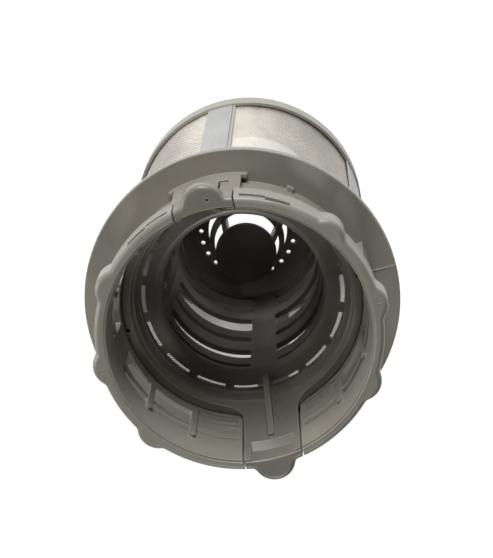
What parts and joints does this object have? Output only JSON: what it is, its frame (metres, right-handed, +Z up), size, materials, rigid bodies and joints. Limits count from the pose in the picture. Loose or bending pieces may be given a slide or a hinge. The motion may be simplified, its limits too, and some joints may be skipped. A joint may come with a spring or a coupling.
{
  "type": "dishwasher filter",
  "caption": "Upright dishwasher sump filter: fine steel mesh cylinder with a flange and lobed grip ring, and a slotted coarse basket that lifts out.",
  "frame": {"origin": "bottom centre of the cage, on the surface that the filter stands on", "axes": "+Z up the filter's axis towards the grip rim; the two pull arms lie on the Y axis"},
  "size_m": [0.095, 0.095, 0.136],
  "materials": {
    "cage_plastic": "satin",
    "steel_mesh": "satin",
    "grey_plastic": "satin"
  },
  "bodies": {
    "cage_and_collar": {"mesh_cage": "cage_plastic", "steel_mesh": "steel_mesh", "grip_collar": "grey_plastic"},
    "coarse_insert": {"coarse_filter": "grey_plastic", "basket_floor": "grey_plastic"}
  },
  "joints": [
    {"name": "coarse_filter_lift", "type": "slide", "parent": "cage_and_collar", "child": "coarse_insert", "axis": [0, 0, 1], "range_m": [0, 0.112]}
  ]
}
